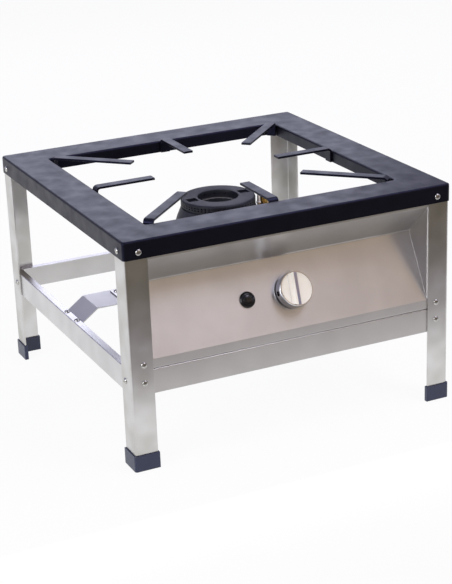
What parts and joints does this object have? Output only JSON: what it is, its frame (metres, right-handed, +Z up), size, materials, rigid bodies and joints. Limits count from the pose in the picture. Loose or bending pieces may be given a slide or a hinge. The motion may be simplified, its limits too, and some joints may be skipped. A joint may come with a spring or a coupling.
{
  "type": "gas stock pot range",
  "caption": "Low square gas stock pot range on angle legs with an enamelled pot frame, a ring burner on a bridge and a recessed control panel.",
  "frame": {"origin": "on the floor under the middle of the frame", "axes": "+Z up, front with the controls towards -Y, +X to the right seen from the front"},
  "size_m": [0.601, 0.5952, 0.4],
  "materials": {
    "black_enamel": "satin black enamel on sheet steel",
    "brushed_stainless": "brushed",
    "foot_plastic": "moulded satin black",
    "cast_iron": "dark cast, matt",
    "bare_aluminium": "satin",
    "brass": "turned",
    "knob_chrome": "polished",
    "igniter_plastic": "gloss black",
    "pipe_steel": "zinc plated",
    "ceramic": "glazed white ceramic",
    "cable_rubber": "matt black"
  },
  "bodies": {
    "stand": {"top_frame": "black_enamel", "pot_support_front": "black_enamel", "pot_support_right": "black_enamel", "pot_support_back": "black_enamel", "pot_support_left": "black_enamel", "pot_support_front_left": "black_enamel", "pot_support_front_right": "black_enamel", "pot_support_back_right": "black_enamel", "pot_support_back_left": "black_enamel", "leg_front_left": "brushed_stainless", "leg_front_right": "brushed_stainless", "leg_back_right": "brushed_stainless", "leg_back_left": "brushed_stainless", "foot_front_left": "foot_plastic", "foot_front_right": "foot_plastic", "foot_back_right": "foot_plastic", "foot_back_left": "foot_plastic", "rail_front": "brushed_stainless", "rail_right": "brushed_stainless", "rail_back": "brushed_stainless", "rail_left": "brushed_stainless", "control_panel": "brushed_stainless", "burner_bridge": "brushed_stainless", "injector_bracket": "brushed_stainless", "burner_body": "cast_iron", "injector": "brass", "gas_valve_body": "brass", "igniter_body": "igniter_plastic", "gas_inlet_pipe": "pipe_steel", "inlet_clip": "brushed_stainless", "burner_feed_pipe": "bare_aluminium", "pilot_burner": "brass", "ignition_electrode": "ceramic", "thermocouple": "brass", "pilot_pipe": "bare_aluminium", "ignition_cable": "cable_rubber"},
    "thrust_sleeve": {"valve_thrust_sleeve": "brass"},
    "knob": {"valve_spindle": "brass", "control_knob": "knob_chrome"},
    "igniter_plunger": {"igniter_button": "igniter_plastic"},
    "cap": {"burner_cap": "cast_iron"},
    "shutter": {"air_shutter": "bare_aluminium"}
  },
  "joints": [
    {"name": "knob_push", "type": "slide", "parent": "stand", "child": "thrust_sleeve", "axis": [0, 0.8788, -0.4772], "range_m": [0, 0.003], "stiffness_N_per_m": 1500, "springref_m": -0.001},
    {"name": "knob_turn", "type": "hinge", "parent": "thrust_sleeve", "child": "knob", "pos_m": [0.011, -0.2604, 0.24575], "axis": [0, -0.8788, 0.4772], "range_deg": [0, 180]},
    {"name": "igniter_press", "type": "slide", "parent": "stand", "child": "igniter_plunger", "axis": [0, 0.8788, -0.4772], "range_m": [0, 0.004], "stiffness_N_per_m": 1200, "springref_m": -0.001},
    {"name": "burner_cap_lift", "type": "slide", "parent": "stand", "child": "cap", "axis": [0, 0, 1], "range_m": [0, 0.1]},
    {"name": "air_shutter_slide", "type": "slide", "parent": "stand", "child": "shutter", "axis": [-1, 0, 0], "range_m": [0, 0.01]}
  ]
}
